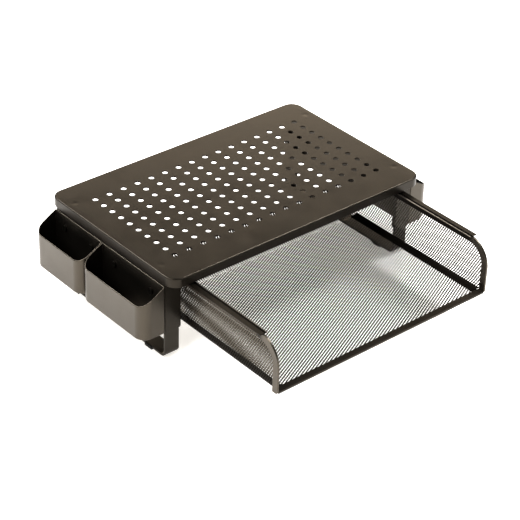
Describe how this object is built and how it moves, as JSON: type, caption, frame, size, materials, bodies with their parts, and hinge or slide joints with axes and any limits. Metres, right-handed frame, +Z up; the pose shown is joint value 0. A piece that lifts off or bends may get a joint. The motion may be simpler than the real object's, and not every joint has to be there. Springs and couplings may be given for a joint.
{
  "type": "monitor riser stand",
  "caption": "Low vented sheet-metal monitor riser on height-adjustable U legs, with open side bins and a wire-mesh drawer sliding out in front.",
  "frame": {"origin": "on the table, at the middle of the box around the stand with the drawer pulled out as at rest", "axes": "+Z up, +X to the user's right, -Y towards the user, where the drawer opens"},
  "size_m": [0.441, 0.3804, 0.115],
  "materials": {
    "deck_coat": "matte powder coat",
    "frame_coat": "matte powder coat",
    "bin_coat": "matte powder coat",
    "drawer_coat": "matte powder coat",
    "mesh": "matte powder coat on expanded mesh",
    "rubber": "matte",
    "zinc": "zinc plated",
    "black_screw": "black oxide"
  },
  "bodies": {
    "left_leg": {"left_leg_bar": "frame_coat", "left_feet": "rubber"},
    "deck": {"deck_panel": "deck_coat", "left_side_plate": "frame_coat", "right_side_plate": "frame_coat", "left_front_sleeve": "frame_coat", "left_rear_sleeve": "frame_coat", "right_front_sleeve": "frame_coat", "right_rear_sleeve": "frame_coat", "left_front_bin": "bin_coat", "left_rear_bin": "bin_coat", "right_front_bin": "bin_coat", "right_rear_bin": "bin_coat", "left_slide_rail": "frame_coat", "right_slide_rail": "frame_coat", "left_rail_guide": "frame_coat", "right_rail_guide": "frame_coat", "drawer_bumpers": "rubber", "clamp_nuts": "zinc", "clamp_screws": "zinc", "bin_screws": "black_screw", "bin_nuts": "zinc", "plate_studs": "zinc", "stud_nuts": "zinc"},
    "right_leg": {"right_leg_bar": "frame_coat", "right_feet": "rubber"},
    "drawer": {"drawer_mesh_tray": "mesh", "drawer_mesh_back": "mesh", "drawer_front_bar": "drawer_coat", "drawer_rear_bar": "drawer_coat", "drawer_left_edge_strip": "drawer_coat", "drawer_right_edge_strip": "drawer_coat", "drawer_left_floor_strip": "drawer_coat", "drawer_right_floor_strip": "drawer_coat", "drawer_left_runner": "drawer_coat", "drawer_right_runner": "drawer_coat", "drawer_stop_tabs": "drawer_coat"}
  },
  "joints": [
    {"name": "height_adjust", "type": "slide", "parent": "left_leg", "child": "deck", "axis": [0, 0, 1], "range_m": [0, 0.04]},
    {"name": "right_leg_slide", "type": "slide", "parent": "deck", "child": "right_leg", "axis": [0, 0, -1], "range_m": [0, 0.04]},
    {"name": "drawer_slide", "type": "slide", "parent": "deck", "child": "drawer", "axis": [0, -1, 0], "range_m": [-0.15, 0.01]}
  ],
  "couplings": [
    {"joint": "right_leg_slide", "follows": "height_adjust", "ratio": 1}
  ]
}
